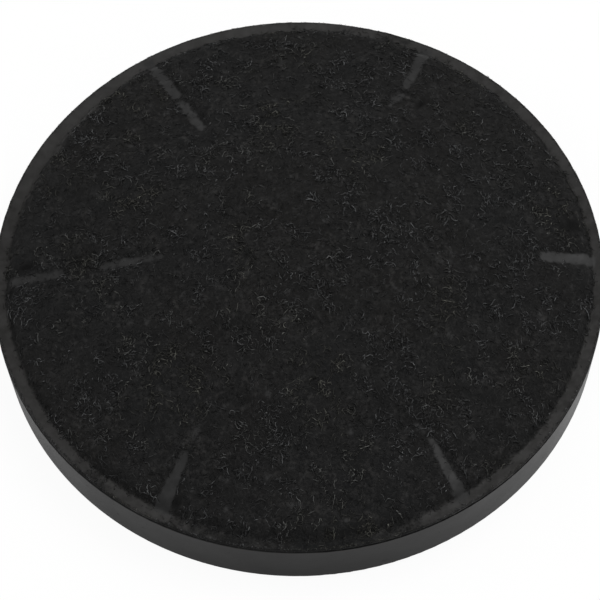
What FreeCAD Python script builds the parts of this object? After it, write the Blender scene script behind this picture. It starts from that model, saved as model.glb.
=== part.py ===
import FreeCAD, Part
import math
import os
import Sketcher

# Round carbon filter for a cooker hood.
# A moulded tray holds six beds of loose carbon granules between six radial webs. Felt
# sectors on the rear grille keep the granules in, and one felt disc closes the front:
# it is sealed down on the rim and on the outer ends of the webs, and tented over them.
# The rear face lies on Z = 0, the felt looks along +Z, and one web runs along +X.
# Millimetres and degrees.

SIZES = [
    ("outer_diameter", 190.0, "across the rim"),
    ("wall_height", 20.5, "rear face to the rim land"),
    ("wall_draft", 3.1, "the wall narrows towards the rear"),
    ("wall_thickness", 2.2, "of the round wall"),
    ("lower_edge_radius", 1.2, "rounding of the rear outer edge"),
    ("upper_edge_radius", 0.8, "rounding of the rim's outer edge"),
    ("rim_land_width", 4.0, "flange that the felt is sealed on"),
    ("rim_land_thickness", 2.0, "of that flange"),
    ("foot_height", 1.5, "rim and hub stand proud of the grille by this"),
    ("foot_width", 4.0, "of the rear rim that the filter rests on"),
    ("floor_thickness", 2.2, "of the rear grille"),
    ("web_count", 6.0, "radial webs, and as many beds"),
    ("web_thickness", 1.8, "of a web"),
    ("web_land_width", 3.2, "widened top edge of a web"),
    ("web_land_depth", 1.6, "of that edge"),
    ("hub_diameter", 38.0, "boss in the middle of the grille"),
    ("socket_diameter", 28.0, "bore that slides over the motor's spigot"),
    ("socket_depth", 14.0, "of that bore"),
    ("socket_roof", 2.5, "over the bore"),
    ("bayonet_slot_width", 4.5, "entry for a spigot's lug"),
    ("bayonet_slot_reach", 2.4, "cut into the bore's wall"),
    ("bayonet_turn_start", 5.0, "depth at which the lug turns"),
    ("bayonet_turn_height", 4.0, "of the turning slot"),
    ("bayonet_turn_angle", 18.0, "a lug turns by this"),
    ("ring_count", 6.0, "rings of the grille"),
    ("ring_width", 2.0, "of a ring"),
    ("spoke_width", 3.6, "of a spoke under a web"),
    ("bar_width", 2.2, "of a bar between two spokes"),
    ("crown_slope", 16.5, "of the tented felt"),
    ("crown_ease_radius", 44.0, "inside this the slope eases to a flat top"),
    ("felt_inset", 0.8, "the felt ends inside the rim's outer edge by this"),
    ("felt_thickness", 3.6, "of the open felt"),
    ("sealed_thickness", 0.9, "of the felt where it is sealed"),
    ("seal_ramp", 2.6, "from sealed to open felt"),
    ("seam_length", 17.0, "of a seam on a web's outer end"),
    ("seam_width", 3.0, "of that seam"),
    ("liner_thickness", 1.6, "of the rear felt sectors"),
    ("fit_gap", 0.3, "round the soft pieces"),
]

# Radii and heights that several pieces share, written on the sheet's names.
OUTER = "(Sizes.outer_diameter / 2)"
DRAFT = "tan(Sizes.wall_draft * 1 deg)"
LAND_INNER = f"({OUTER} - Sizes.rim_land_width)"
HUB = "(Sizes.hub_diameter / 2)"
FLOOR_TOP = "(Sizes.foot_height + Sizes.floor_thickness)"
LINER_TOP = f"({FLOOR_TOP} + Sizes.liner_thickness)"
HUB_TOP = "(Sizes.socket_depth + Sizes.socket_roof)"
LAND_BOTTOM = "(Sizes.wall_height - Sizes.rim_land_thickness)"
SECTOR_ANGLE = "(360 / Sizes.web_count)"
SUNK = "1"  # features that join run this far into each other


def wall_outside(height):
    """Outer radius of the drafted wall at a height."""
    return f"({OUTER} - (Sizes.wall_height - {height}) * {DRAFT})"


def wall_inside(height):
    """Inner radius of the drafted wall at a height."""
    return f"({wall_outside(height)} - Sizes.wall_thickness)"


def crown(radius, lift="0"):
    """Height of the felt's underside on its straight slope, raised by a lift."""
    slope = "tan(Sizes.crown_slope * 1 deg)"
    return f"(Sizes.wall_height + ({LAND_INNER} - {radius}) * {slope} + ({lift}))"


def crown_top(lift="0"):
    """Height of the felt's underside at the middle, raised by a lift."""
    ease = "Sizes.crown_ease_radius"
    return f"({crown(ease, lift)} + {ease} * tan(Sizes.crown_slope / 2 * 1 deg))"


WALL_INSIDE = wall_inside(FLOOR_TOP)
GRILLE_OUTER = f"({wall_outside('0')} - Sizes.foot_width)"
GRILLE_PITCH = f"(({GRILLE_OUTER} - {HUB} + Sizes.ring_width) / (Sizes.ring_count + 1))"

doc = FreeCAD.newDocument("CarbonFilter")


def make_sheet():
    """Fill the spreadsheet with the named driving sizes."""
    sheet = doc.addObject("Spreadsheet::Sheet", "Sizes")
    for row, (name, number, meaning) in enumerate(SIZES, start=1):
        sheet.set(f"A{row}", meaning)
        sheet.set(f"B{row}", str(number))
        sheet.setAlias(f"B{row}", name)
    doc.recompute()
    return sheet


sizes = make_sheet()


def number_of(expression):
    """Value of an expression on the sheet."""
    return float(sizes.evalExpression(expression))


def new_body(name):
    """Start a sub-part, whose label is its node's name."""
    body = doc.addObject("PartDesign::Body", name)
    body.Label = name
    return body


def origin_item(body, role):
    """Plane or axis of a body's own origin."""
    return next(item for item in body.Origin.OriginFeatures if item.Role == role)


def new_sketch(body, name, plane="XZ_Plane", height=None):
    """Sketch on an origin plane, raised to a height where one is given."""
    sketch = body.newObject("Sketcher::SketchObject", name)
    sketch.AttachmentSupport = [(origin_item(body, plane), "")]
    sketch.MapMode = "FlatFace"
    if height is not None:
        sketch.setExpression("AttachmentOffset.Base.z", height)
    return sketch


def hold(sketch, kind, targets, expression):
    """Dimension a sketch with an expression."""
    index = sketch.addConstraint(Sketcher.Constraint(kind, *targets, number_of(expression)))
    sketch.setExpression(f"Constraints[{index}]", expression)


def place_point(sketch, line, end, across, up):
    """Fix a line's end at its distances from the sketch's origin."""
    for kind, axis, expression in (("DistanceX", -2, across), ("DistanceY", -1, up)):
        if expression == "0":
            sketch.addConstraint(Sketcher.Constraint("PointOnObject", line, end, axis))
        else:
            hold(sketch, kind, (-1, 1, line, end), expression)


def draw_profile(sketch, corners, eased=()):
    """Closed outline through corners given as (radius, height) expressions.

    The sides whose first corner is listed in eased are arcs centred on the axis, which
    level off there. The others are straight.
    """
    points = [FreeCAD.Vector(number_of(r), number_of(z), 0) for r, z in corners]
    sides = []
    for index, start in enumerate(points):
        finish = points[(index + 1) % len(points)]
        if index not in eased:
            line = sketch.addGeometry(Part.LineSegment(start, finish), False)
            sides.append((line, 1, 2))
            continue
        top, edge = (start, finish) if start.x < finish.x else (finish, start)
        centre_y = (edge.x**2 + edge.y**2 - top.y**2) / (2 * (edge.y - top.y))
        centre = FreeCAD.Vector(0, centre_y, 0)
        circle = Part.Circle(centre, FreeCAD.Vector(0, 0, 1), top.y - centre_y)
        angle = math.atan2(edge.y - centre_y, edge.x)
        arc = sketch.addGeometry(Part.ArcOfCircle(circle, angle, math.pi / 2), False)
        sketch.addConstraint(Sketcher.Constraint("PointOnObject", arc, 3, -2))
        sides.append((arc, 1, 2) if edge == start else (arc, 2, 1))
    for index, (side, first, _) in enumerate(sides):
        before, _, last = sides[index - 1]
        sketch.addConstraint(Sketcher.Constraint("Coincident", before, last, side, first))
        place_point(sketch, side, first, *corners[index])


def polar(radius, side, angle):
    """Point on a circle, a distance to the side of the ray at an angle."""
    turn = math.radians(angle) + math.asin(side / radius)
    return FreeCAD.Vector(radius * math.cos(turn), radius * math.sin(turn), 0)


def draw_sector(sketch, outer, side, inner=None):
    """Sector between two neighbouring webs, its sides a distance off their midplanes.

    Without an inner radius the two sides run on until they meet.
    """
    reach, off, angle = number_of(outer), number_of(side), number_of(SECTOR_ANGLE)
    start, finish = polar(reach, off, 0), polar(reach, -off, angle)
    if inner is None:
        near = FreeCAD.Vector(off / math.tan(math.radians(angle / 2)), off, 0)
        far = near
    else:
        near, far = polar(number_of(inner), off, 0), polar(number_of(inner), -off, angle)
    origin, normal = FreeCAD.Vector(0, 0, 0), FreeCAD.Vector(0, 0, 1)

    def add_arc(radius, first, last):
        """Arc about the sketch's origin from one point to another."""
        turns = [math.atan2(point.y, point.x) for point in (first, last)]
        arc = sketch.addGeometry(Part.ArcOfCircle(Part.Circle(origin, normal, radius), *turns))
        sketch.addConstraint(Sketcher.Constraint("Coincident", arc, 3, -1, 1))
        return arc

    low = sketch.addGeometry(Part.LineSegment(near, start))
    rim = add_arc(reach, start, finish)
    high = sketch.addGeometry(Part.LineSegment(finish, far))
    joints = [(low, 2, rim, 1), (rim, 2, high, 1)]
    if inner is None:
        joints.append((high, 2, low, 1))
    else:
        root = add_arc(number_of(inner), near, far)
        joints += [(high, 2, root, 2), (root, 1, low, 1)]
    for joint in joints:
        sketch.addConstraint(Sketcher.Constraint("Coincident", *joint))
    sketch.addConstraint(Sketcher.Constraint("Horizontal", low))
    hold(sketch, "DistanceY", (-1, 1, low, 1), side)
    hold(sketch, "Distance", (-1, 1, high), side)
    hold(sketch, "Angle", (-1, 1, high, 2), f"{SECTOR_ANGLE} * 1 deg")
    hold(sketch, "Radius", (rim,), outer)
    if inner is not None:
        hold(sketch, "Radius", (root,), inner)


def draw_bar(sketch, start, finish, width):
    """Rectangle along the sketch's X axis, centred on it."""
    first, last, half = number_of(start), number_of(finish), number_of(width) / 2
    corners = [(first, -half), (last, -half), (last, half), (first, half)]
    points = [FreeCAD.Vector(x, y, 0) for x, y in corners]
    lines = []
    for index, point in enumerate(points):
        lines.append(sketch.addGeometry(Part.LineSegment(point, points[(index + 1) % 4])))
    for index, line in enumerate(lines):
        sketch.addConstraint(Sketcher.Constraint("Coincident", lines[index - 1], 2, line, 1))
    for level, line in zip(("Horizontal", "Vertical", "Horizontal"), lines):
        sketch.addConstraint(Sketcher.Constraint(level, line))
    sketch.addConstraint(Sketcher.Constraint("Symmetric", lines[0], 1, lines[3], 1, -1))
    hold(sketch, "DistanceX", (-1, 1, lines[0], 1), start)
    hold(sketch, "DistanceX", (-1, 1, lines[1], 1), finish)
    hold(sketch, "DistanceY", (lines[0], 1, lines[3], 1), width)


def volume_changes(body, feature):
    """Recompute and make sure that a feature changed the sub-part's volume."""
    before = feature.BaseFeature.Shape.Volume if feature.BaseFeature else 0.0
    body.Tip = feature
    doc.recompute()
    if abs(feature.Shape.Volume - before) < 1e-3:
        raise RuntimeError(f"{feature.Name} changed nothing")
    return feature


def turned(body, kind, sketch, angle=None, backwards=False):
    """Revolve a profile about the filter's axis, as a solid or as a cut."""
    feature = body.newObject(f"PartDesign::{kind}", f"{sketch.Name}_{kind.lower()}")
    feature.Profile = sketch
    feature.ReferenceAxis = (origin_item(body, "Z_Axis"), "")
    if angle is None:
        feature.Angle = 360
    else:
        feature.setExpression("Angle", angle)
    feature.Reversed = backwards
    return volume_changes(body, feature)


def extruded(body, kind, sketch, length, symmetric=False, backwards=False):
    """Extrude a sketch, as a solid or as a cut."""
    feature = body.newObject(f"PartDesign::{kind}", f"{sketch.Name}_{kind.lower()}")
    feature.Profile = sketch
    feature.SideType = "Symmetric" if symmetric else "One side"
    feature.setExpression("Length", length)
    feature.Reversed = backwards
    return volume_changes(body, feature)


def repeated(body, features, count):
    """Repeat features round the filter's axis."""
    pattern = body.newObject("PartDesign::PolarPattern", f"{features[0].Name}_round")
    pattern.Originals = features
    pattern.Axis = (origin_item(body, "Z_Axis"), "")
    pattern.Angle = 360
    pattern.setExpression("Occurrences", count)
    return volume_changes(body, pattern)


def edges_on_circle(shape, radius, height):
    """Names of the round edges of a radius that lie at a height."""
    names = []
    for index, edge in enumerate(shape.Edges, start=1):
        if not isinstance(edge.Curve, Part.Circle):
            continue
        level = abs(edge.Curve.Center.z - height) < 1e-3
        if level and abs(edge.Curve.Radius - radius) < 1e-3:
            names.append(f"Edge{index}")
    return names


def rounded(body, name, radius, height, size):
    """Round off the edge of a radius at a height."""
    base = body.Tip
    fillet = body.newObject("PartDesign::Fillet", name)
    fillet.Base = (base, edges_on_circle(base.Shape, number_of(radius), number_of(height)))
    fillet.setExpression("Radius", size)
    return volume_changes(body, fillet)


def add_shell(body):
    """Drafted wall with its rim land and rear foot, the grille's floor and the hub."""
    sketch = new_sketch(body, "shell_profile")
    draw_profile(
        sketch,
        [
            ("0", "0"),
            (HUB, "0"),
            (HUB, "Sizes.foot_height"),
            (GRILLE_OUTER, "Sizes.foot_height"),
            (GRILLE_OUTER, "0"),
            (wall_outside("0"), "0"),
            (OUTER, "Sizes.wall_height"),
            (LAND_INNER, "Sizes.wall_height"),
            (LAND_INNER, LAND_BOTTOM),
            (wall_inside(LAND_BOTTOM), LAND_BOTTOM),
            (WALL_INSIDE, FLOOR_TOP),
            (HUB, FLOOR_TOP),
            (HUB, HUB_TOP),
            ("0", HUB_TOP),
        ],
    )
    turned(body, "Revolution", sketch)
    rounded(body, "lower_edge", wall_outside("0"), "0", "Sizes.lower_edge_radius")
    rounded(body, "upper_edge", OUTER, "Sizes.wall_height", "Sizes.upper_edge_radius")


def add_grille(body):
    """Windows between the hub, the rings and the spokes, and a bar across each sector."""
    sketch = new_sketch(body, "windows", "XY_Plane")
    for ring in range(int(sizes.ring_count) + 1):
        inner = f"({HUB} + {GRILLE_PITCH} * {ring})"
        outer = f"({inner} + {GRILLE_PITCH} - Sizes.ring_width)"
        draw_sector(sketch, outer, "(Sizes.spoke_width / 2)", inner)
    windows = extruded(body, "Pocket", sketch, FLOOR_TOP, backwards=True)
    repeated(body, [windows], "Sizes.web_count")

    sketch = new_sketch(body, "cross_bar", "XY_Plane", "Sizes.foot_height")
    sketch.setExpression("AttachmentOffset.Rotation.Angle", f"{SECTOR_ANGLE} / 2 * 1 deg")
    draw_bar(sketch, f"({HUB} - {SUNK})", f"({GRILLE_OUTER} + {SUNK})", "Sizes.bar_width")
    bar = extruded(body, "Pad", sketch, "Sizes.floor_thickness")
    repeated(body, [bar], "Sizes.web_count")


def add_webs(body):
    """Radial webs that rise from the rim to the middle, each with a widened top edge."""
    gap = "-Sizes.fit_gap"
    edge = f"(Sizes.wall_height - Sizes.fit_gap)"
    half_wall = "Sizes.wall_thickness / 2"
    sketch = new_sketch(body, "web_profile")
    draw_profile(
        sketch,
        [
            ("0", FLOOR_TOP),
            (f"({wall_inside(FLOOR_TOP)} + {half_wall})", FLOOR_TOP),
            (f"({wall_inside(edge)} + {half_wall})", edge),
            (LAND_INNER, edge),
            ("Sizes.crown_ease_radius", crown("Sizes.crown_ease_radius", gap)),
            ("0", crown_top(gap)),
        ],
        eased=(4,),
    )
    web = extruded(body, "Pad", sketch, "Sizes.web_thickness", symmetric=True)

    under = "-Sizes.fit_gap - Sizes.web_land_depth"
    sketch = new_sketch(body, "web_land_profile")
    draw_profile(
        sketch,
        [
            ("0", crown_top(under)),
            ("Sizes.crown_ease_radius", crown("Sizes.crown_ease_radius", under)),
            (LAND_INNER, crown(LAND_INNER, under)),
            (f"({LAND_INNER} + {SUNK})", crown(LAND_INNER, under)),
            (f"({LAND_INNER} + {SUNK})", edge),
            (LAND_INNER, edge),
            ("Sizes.crown_ease_radius", crown("Sizes.crown_ease_radius", gap)),
            ("0", crown_top(gap)),
        ],
        eased=(0, 6),
    )
    land = extruded(body, "Pad", sketch, "Sizes.web_land_width", symmetric=True)
    repeated(body, [web, land], "Sizes.web_count")


def add_socket(body):
    """Blind bore in the hub with two bayonet slots."""
    sketch = new_sketch(body, "socket_circle", "XY_Plane")
    circle = Part.Circle(FreeCAD.Vector(0, 0, 0), FreeCAD.Vector(0, 0, 1), 10)
    ring = sketch.addGeometry(circle)
    sketch.addConstraint(Sketcher.Constraint("Coincident", ring, 3, -1, 1))
    hold(sketch, "Radius", (ring,), "(Sizes.socket_diameter / 2)")
    extruded(body, "Pocket", sketch, "Sizes.socket_depth", backwards=True)

    reach = "(Sizes.socket_diameter / 2 + Sizes.bayonet_slot_reach)"
    inside = "(Sizes.socket_diameter / 4)"
    turn_top = "(Sizes.bayonet_turn_start + Sizes.bayonet_turn_height)"
    sketch = new_sketch(body, "lug_entry", "XY_Plane")
    draw_bar(sketch, inside, reach, "Sizes.bayonet_slot_width")
    entry = extruded(body, "Pocket", sketch, turn_top, backwards=True)
    sketch = new_sketch(body, "lug_turn")
    draw_profile(
        sketch,
        [
            (inside, "Sizes.bayonet_turn_start"),
            (reach, "Sizes.bayonet_turn_start"),
            (reach, turn_top),
            (inside, turn_top),
        ],
    )
    half_slot = "asin(Sizes.bayonet_slot_width / Sizes.socket_diameter)"
    turn = turned(body, "Groove", sketch, f"(Sizes.bayonet_turn_angle * 1 deg + {half_slot})")
    repeated(body, [entry, turn], "2")


def make_housing():
    """The moulded tray."""
    body = new_body("housing")
    add_shell(body)
    add_webs(body)
    add_socket(body)
    add_grille(body)


def make_front_felt():
    """Felt disc: a sealed border, a ramp to its full thickness and a tented crown."""
    body = new_body("front_felt")
    sealed_top = "(Sizes.wall_height + Sizes.sealed_thickness)"
    ramp_top = f"({LAND_INNER} - Sizes.seal_ramp)"
    felt_edge = f"({OUTER} - Sizes.felt_inset)"
    ease = "Sizes.crown_ease_radius"
    sketch = new_sketch(body, "felt_profile")
    draw_profile(
        sketch,
        [
            ("0", crown_top()),
            (ease, crown(ease)),
            (LAND_INNER, "Sizes.wall_height"),
            (felt_edge, "Sizes.wall_height"),
            (felt_edge, sealed_top),
            (LAND_INNER, sealed_top),
            (ramp_top, crown(ramp_top, "Sizes.felt_thickness")),
            (ease, crown(ease, "Sizes.felt_thickness")),
            ("0", crown_top("Sizes.felt_thickness")),
        ],
        eased=(0, 7),
    )
    turned(body, "Revolution", sketch)

    seam_end = f"({LAND_INNER} - Sizes.seam_length)"
    clear = "2 * Sizes.felt_thickness"
    sketch = new_sketch(body, "seam_profile")
    draw_profile(
        sketch,
        [
            (seam_end, crown(seam_end, "Sizes.felt_thickness")),
            (f"({seam_end} + Sizes.seal_ramp)",
             crown(f"({seam_end} + Sizes.seal_ramp)", "Sizes.sealed_thickness")),
            (LAND_INNER, sealed_top),
            (LAND_INNER, crown(LAND_INNER, clear)),
            (seam_end, crown(seam_end, clear)),
        ],
    )
    seam = extruded(body, "Pocket", sketch, "Sizes.seam_width", symmetric=True)
    repeated(body, [seam], "Sizes.web_count")


def make_rear_felt(number):
    """Flat felt sector that lies on the grille between two webs."""
    body = new_body(f"rear_felt_{number}")
    sketch = new_sketch(body, f"liner_{number}", "XY_Plane", FLOOR_TOP)
    draw_sector(
        sketch,
        f"({WALL_INSIDE} - Sizes.fit_gap)",
        "(Sizes.web_thickness / 2 + Sizes.fit_gap)",
        f"({HUB} + Sizes.fit_gap)",
    )
    extruded(body, "Pad", sketch, "Sizes.liner_thickness")
    body.setExpression("Placement.Rotation.Angle", f"{SECTOR_ANGLE} * {number - 1} * 1 deg")


def make_carbon_bed(number):
    """Granules of one sector, over the felt liner and the hub and under the crown."""
    body = new_body(f"carbon_bed_{number}")
    sketch = new_sketch(body, f"bed_{number}", "XY_Plane", LINER_TOP)
    bed_outer = f"({LAND_INNER} - Sizes.fit_gap)"
    draw_sector(sketch, bed_outer, "(Sizes.web_land_width / 2 + Sizes.fit_gap)")
    extruded(body, "Pad", sketch, f"({crown_top()} - {LINER_TOP})")

    under = "-Sizes.fit_gap"
    ease = "Sizes.crown_ease_radius"
    sketch = new_sketch(body, f"crown_{number}")
    draw_profile(
        sketch,
        [
            ("0", crown_top(under)),
            (ease, crown(ease, under)),
            (OUTER, crown(OUTER, under)),
            (OUTER, crown_top("Sizes.felt_thickness")),
            ("0", crown_top("Sizes.felt_thickness")),
        ],
        eased=(0,),
    )
    turned(body, "Groove", sketch)
    sketch = new_sketch(body, f"hub_room_{number}")
    hub_side = f"({HUB} + Sizes.fit_gap)"
    hub_room = f"({HUB_TOP} + Sizes.fit_gap)"
    draw_profile(sketch, [("0", "0"), (hub_side, "0"), (hub_side, hub_room), ("0", hub_room)])
    turned(body, "Groove", sketch)
    body.setExpression("Placement.Rotation.Angle", f"{SECTOR_ANGLE} * {number - 1} * 1 deg")


def check_and_export():
    """Stop on any failed object, then write each sub-part's solid."""
    doc.recompute()
    for item in doc.Objects:
        if "Invalid" in item.State or "Error" in item.State:
            raise RuntimeError(f"{item.Name} is {item.State}")
    os.makedirs("parts", exist_ok=True)
    for body in doc.findObjects("PartDesign::Body"):
        shape = body.Shape
        if shape.isNull() or not shape.isValid() or len(shape.Solids) != 1:
            raise RuntimeError(f"{body.Label} is not one valid solid")
        shape.exportStep(f"parts/{body.Label}.step")
        print(f"{body.Label}: {shape.Volume / 1000:.1f} cm3, {len(shape.Faces)} faces")


make_housing()
make_front_felt()
for sector in range(1, int(sizes.web_count) + 1):
    make_rear_felt(sector)
    make_carbon_bed(sector)
check_and_export()
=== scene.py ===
"""Looks of a round carbon filter for a cooker hood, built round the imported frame.

Everything is in metres. The filter rests on its rear rim, the felt looks along +Z, and
one of the six webs under the felt runs along +X.
"""

import logging
import math
from collections.abc import Iterator
from contextlib import contextmanager
from dataclasses import dataclass, field
from enum import Enum
from typing import Any

import bpy
import numpy as np
from mathutils import Matrix, Vector


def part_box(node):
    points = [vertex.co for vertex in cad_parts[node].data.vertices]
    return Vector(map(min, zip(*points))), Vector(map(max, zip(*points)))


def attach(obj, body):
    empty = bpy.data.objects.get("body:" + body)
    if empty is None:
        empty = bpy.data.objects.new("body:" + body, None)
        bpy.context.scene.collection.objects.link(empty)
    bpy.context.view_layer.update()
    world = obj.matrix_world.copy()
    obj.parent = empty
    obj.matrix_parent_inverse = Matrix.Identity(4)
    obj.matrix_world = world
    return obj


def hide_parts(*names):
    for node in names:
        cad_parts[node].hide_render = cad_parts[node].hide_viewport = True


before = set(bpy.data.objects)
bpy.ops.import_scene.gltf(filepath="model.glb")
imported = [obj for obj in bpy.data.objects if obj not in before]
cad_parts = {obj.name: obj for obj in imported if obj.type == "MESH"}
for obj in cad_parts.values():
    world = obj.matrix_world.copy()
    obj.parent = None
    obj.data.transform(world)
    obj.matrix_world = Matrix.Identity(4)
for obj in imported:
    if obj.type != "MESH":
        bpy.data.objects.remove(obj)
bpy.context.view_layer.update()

MM = 0.001
BODY = "root"
log = logging.getLogger("carbon_filter")

Colour = tuple[float, float, float, float]
Piece = bpy.types.Object
Socket = bpy.types.NodeSocket
Material = bpy.types.Material
Array = np.ndarray


def mm(*lengths: float) -> tuple[float, ...]:
    """Return lengths that are given in millimetres."""
    return tuple(length * MM for length in lengths)


def grey(level: float, warmth: float = 0.0) -> Colour:
    """Return a grey of a linear level, pushed towards red and away from blue by warmth."""
    return (level * (1 + warmth), level, level * (1 - warmth), 1.0)


class Blend(Enum):
    """How a value eases between two limits."""

    LINEAR = "LINEAR"
    SMOOTH = "SMOOTHSTEP"


@dataclass(frozen=True)
class Shade:
    """A shader socket that takes part in arithmetic."""

    net: "MaterialNet"
    socket: Socket

    def _math(self, operation: str, *values: Any) -> "Shade":
        """Add a Math node on the given values."""
        node = self.net.add("ShaderNodeMath", {"operation": operation}, dict(enumerate(values)))
        return Shade(self.net, node.outputs[0])

    def __add__(self, other: Any) -> "Shade":
        """Sum."""
        return self._math("ADD", self, other)

    def __sub__(self, other: Any) -> "Shade":
        """Difference."""
        return self._math("SUBTRACT", self, other)

    def __rsub__(self, other: Any) -> "Shade":
        """Difference, with the shade on the right."""
        return self._math("SUBTRACT", other, self)

    def __mul__(self, other: Any) -> "Shade":
        """Product."""
        return self._math("MULTIPLY", self, other)

    def between(self, low: float, high: float, how: Blend = Blend.SMOOTH) -> "Shade":
        """Ease from 0 at low to 1 at high.

        Args:
            low: The value that gives 0.
            high: The value that gives 1.
            how: The curve between them.

        Returns:
            The eased value, held from 0 to 1.
        """
        settings = {"interpolation_type": how.value}
        node = self.net.add("ShaderNodeMapRange", settings, {0: self, 1: low, 2: high})
        return Shade(self.net, node.outputs[0])


class MaterialNet:
    """A node material under construction, with its Principled shader."""

    def __init__(self, name: str) -> None:
        """Start an empty material.

        Args:
            name: The material's name.
        """
        self.material = bpy.data.materials.new(name)
        self.material.use_nodes = True
        self.tree = self.material.node_tree
        self.tree.nodes.clear()
        self.shader = self.add("ShaderNodeBsdfPrincipled")
        self.add("ShaderNodeOutputMaterial", None, {"Surface": self.shader.outputs[0]})

    def add(self, kind: str, settings: dict | None = None,
            sockets: dict | None = None) -> bpy.types.Node:
        """Add a node.

        Args:
            kind: The node's type.
            settings: Properties set first.
            sockets: Values or links by the input's name or number.

        Returns:
            The new node.
        """
        node = self.tree.nodes.new(kind)
        for key, value in (settings or {}).items():
            setattr(node, key, value)
        for key, value in (sockets or {}).items():
            self.plug(node.inputs[key], value)
        return node

    def plug(self, socket: Socket, value: Any) -> None:
        """Link a shade or an output to a socket, or set the socket's own value.

        Args:
            socket: The socket.
            value: The shade, output, number or colour.
        """
        if isinstance(value, Shade):
            self.tree.links.new(value.socket, socket)
        elif isinstance(value, Socket):
            self.tree.links.new(value, socket)
        else:
            socket.default_value = value

    def place(self) -> Socket:
        """Return the object's coordinates."""
        return self.add("ShaderNodeTexCoord").outputs["Object"]

    def attribute(self, name: str) -> Shade:
        """Return a value that the mesh carries."""
        node = self.add("ShaderNodeAttribute", {"attribute_name": name})
        return Shade(self, node.outputs["Fac"])

    def noise(self, size: float, detail: float = 2.0, rough: float = 0.5) -> Shade:
        """Add a noise pattern on the object's coordinates.

        Args:
            size: The size of its largest spots, in metres.
            detail: How many finer octaves it has.
            rough: How strong those are.

        Returns:
            The pattern, about 0.5 on average.
        """
        sockets = {"Vector": self.place(), "Scale": 1 / size, "Detail": detail, "Roughness": rough}
        return Shade(self, self.add("ShaderNodeTexNoise", None, sockets).outputs[0])

    def strands(self, size: float, warp: float) -> Shade:
        """Add a web of thin curly lines.

        Args:
            size: The mesh width of the web, in metres.
            warp: How far the lines wander, in metres.

        Returns:
            A value that is 0 on a line and grows away from it.
        """
        place = self.place()
        drift = self.add("ShaderNodeTexNoise", None, {"Vector": place, "Scale": 0.6 / size})
        centred = self.add("ShaderNodeVectorMath", {"operation": "SUBTRACT"},
                           {0: drift.outputs["Color"], 1: (0.5, 0.5, 0.5)})
        pushed = self.add("ShaderNodeVectorMath", {"operation": "SCALE"},
                          {0: centred.outputs[0], "Scale": 2 * warp})
        moved = self.add("ShaderNodeVectorMath", {"operation": "ADD"},
                         {0: place, 1: pushed.outputs[0]})
        cells = self.add("ShaderNodeTexVoronoi", {"feature": "DISTANCE_TO_EDGE"},
                         {"Vector": moved.outputs[0], "Scale": 1 / size})
        return Shade(self, cells.outputs["Distance"])

    def mix(self, factor: Any, first: Any, second: Any) -> Socket:
        """Return a colour between two colours."""
        node = self.add("ShaderNodeMix", {"data_type": "RGBA"}, {0: factor, 6: first, 7: second})
        return node.outputs[2]

    def bump(self, height: Shade, depth: float, strength: float = 1.0,
             under: Any = None) -> Socket:
        """Return a normal bumped by a height.

        Args:
            height: The pattern, from 0 to 1.
            depth: What a height of 1 means, in metres.
            strength: How strongly it shows.
            under: A normal that this one lies on.

        Returns:
            The bumped normal.
        """
        sockets = {"Height": height, "Distance": depth, "Strength": strength}
        if under is not None:
            sockets["Normal"] = under
        return self.add("ShaderNodeBump", None, sockets).outputs[0]

    def surface(self, **sockets: Any) -> Material:
        """Plug the Principled shader and return the material.

        Args:
            sockets: Values or links, by input name with _ for a space.

        Returns:
            The finished material.
        """
        for name, value in sockets.items():
            self.plug(self.shader.inputs[name.replace("_", " ")], value)
        return self.material


@dataclass(frozen=True)
class MouldedPlastic:
    """Satin black plastic with a fine mould texture, patches of haze, dust and slight waves."""

    level: float = 0.004
    worn_level: float = 0.0085
    roughness: float = 0.25
    specular: float = 0.065
    grain: float = 0.5 * MM
    flow: float = 22 * MM
    speck: float = 1.3 * MM
    wave: float = 9 * MM

    def material(self) -> Material:
        """Build the material."""
        net = MaterialNet("moulded_plastic")
        haze = net.noise(self.flow, 4.0, 0.6)
        dust = net.noise(self.speck, 3.0, 0.7).between(0.62, 0.78)
        mottled = (haze * 0.7 + dust * 0.3).between(0.3, 0.8)
        colour = net.mix(mottled, grey(self.level), grey(self.worn_level, 0.02))
        rough = haze * 0.16 + dust * 0.2 + self.roughness
        fine = net.noise(self.grain, 3.0, 0.6)
        wavy = net.bump(net.noise(self.wave, 1.0), 0.12 * MM, 0.5)
        normal = net.bump(fine, 0.012 * MM, 0.7, wavy)
        return net.surface(Base_Color=colour, Roughness=rough, Normal=normal,
                           Specular_IOR_Level=self.specular)


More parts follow.
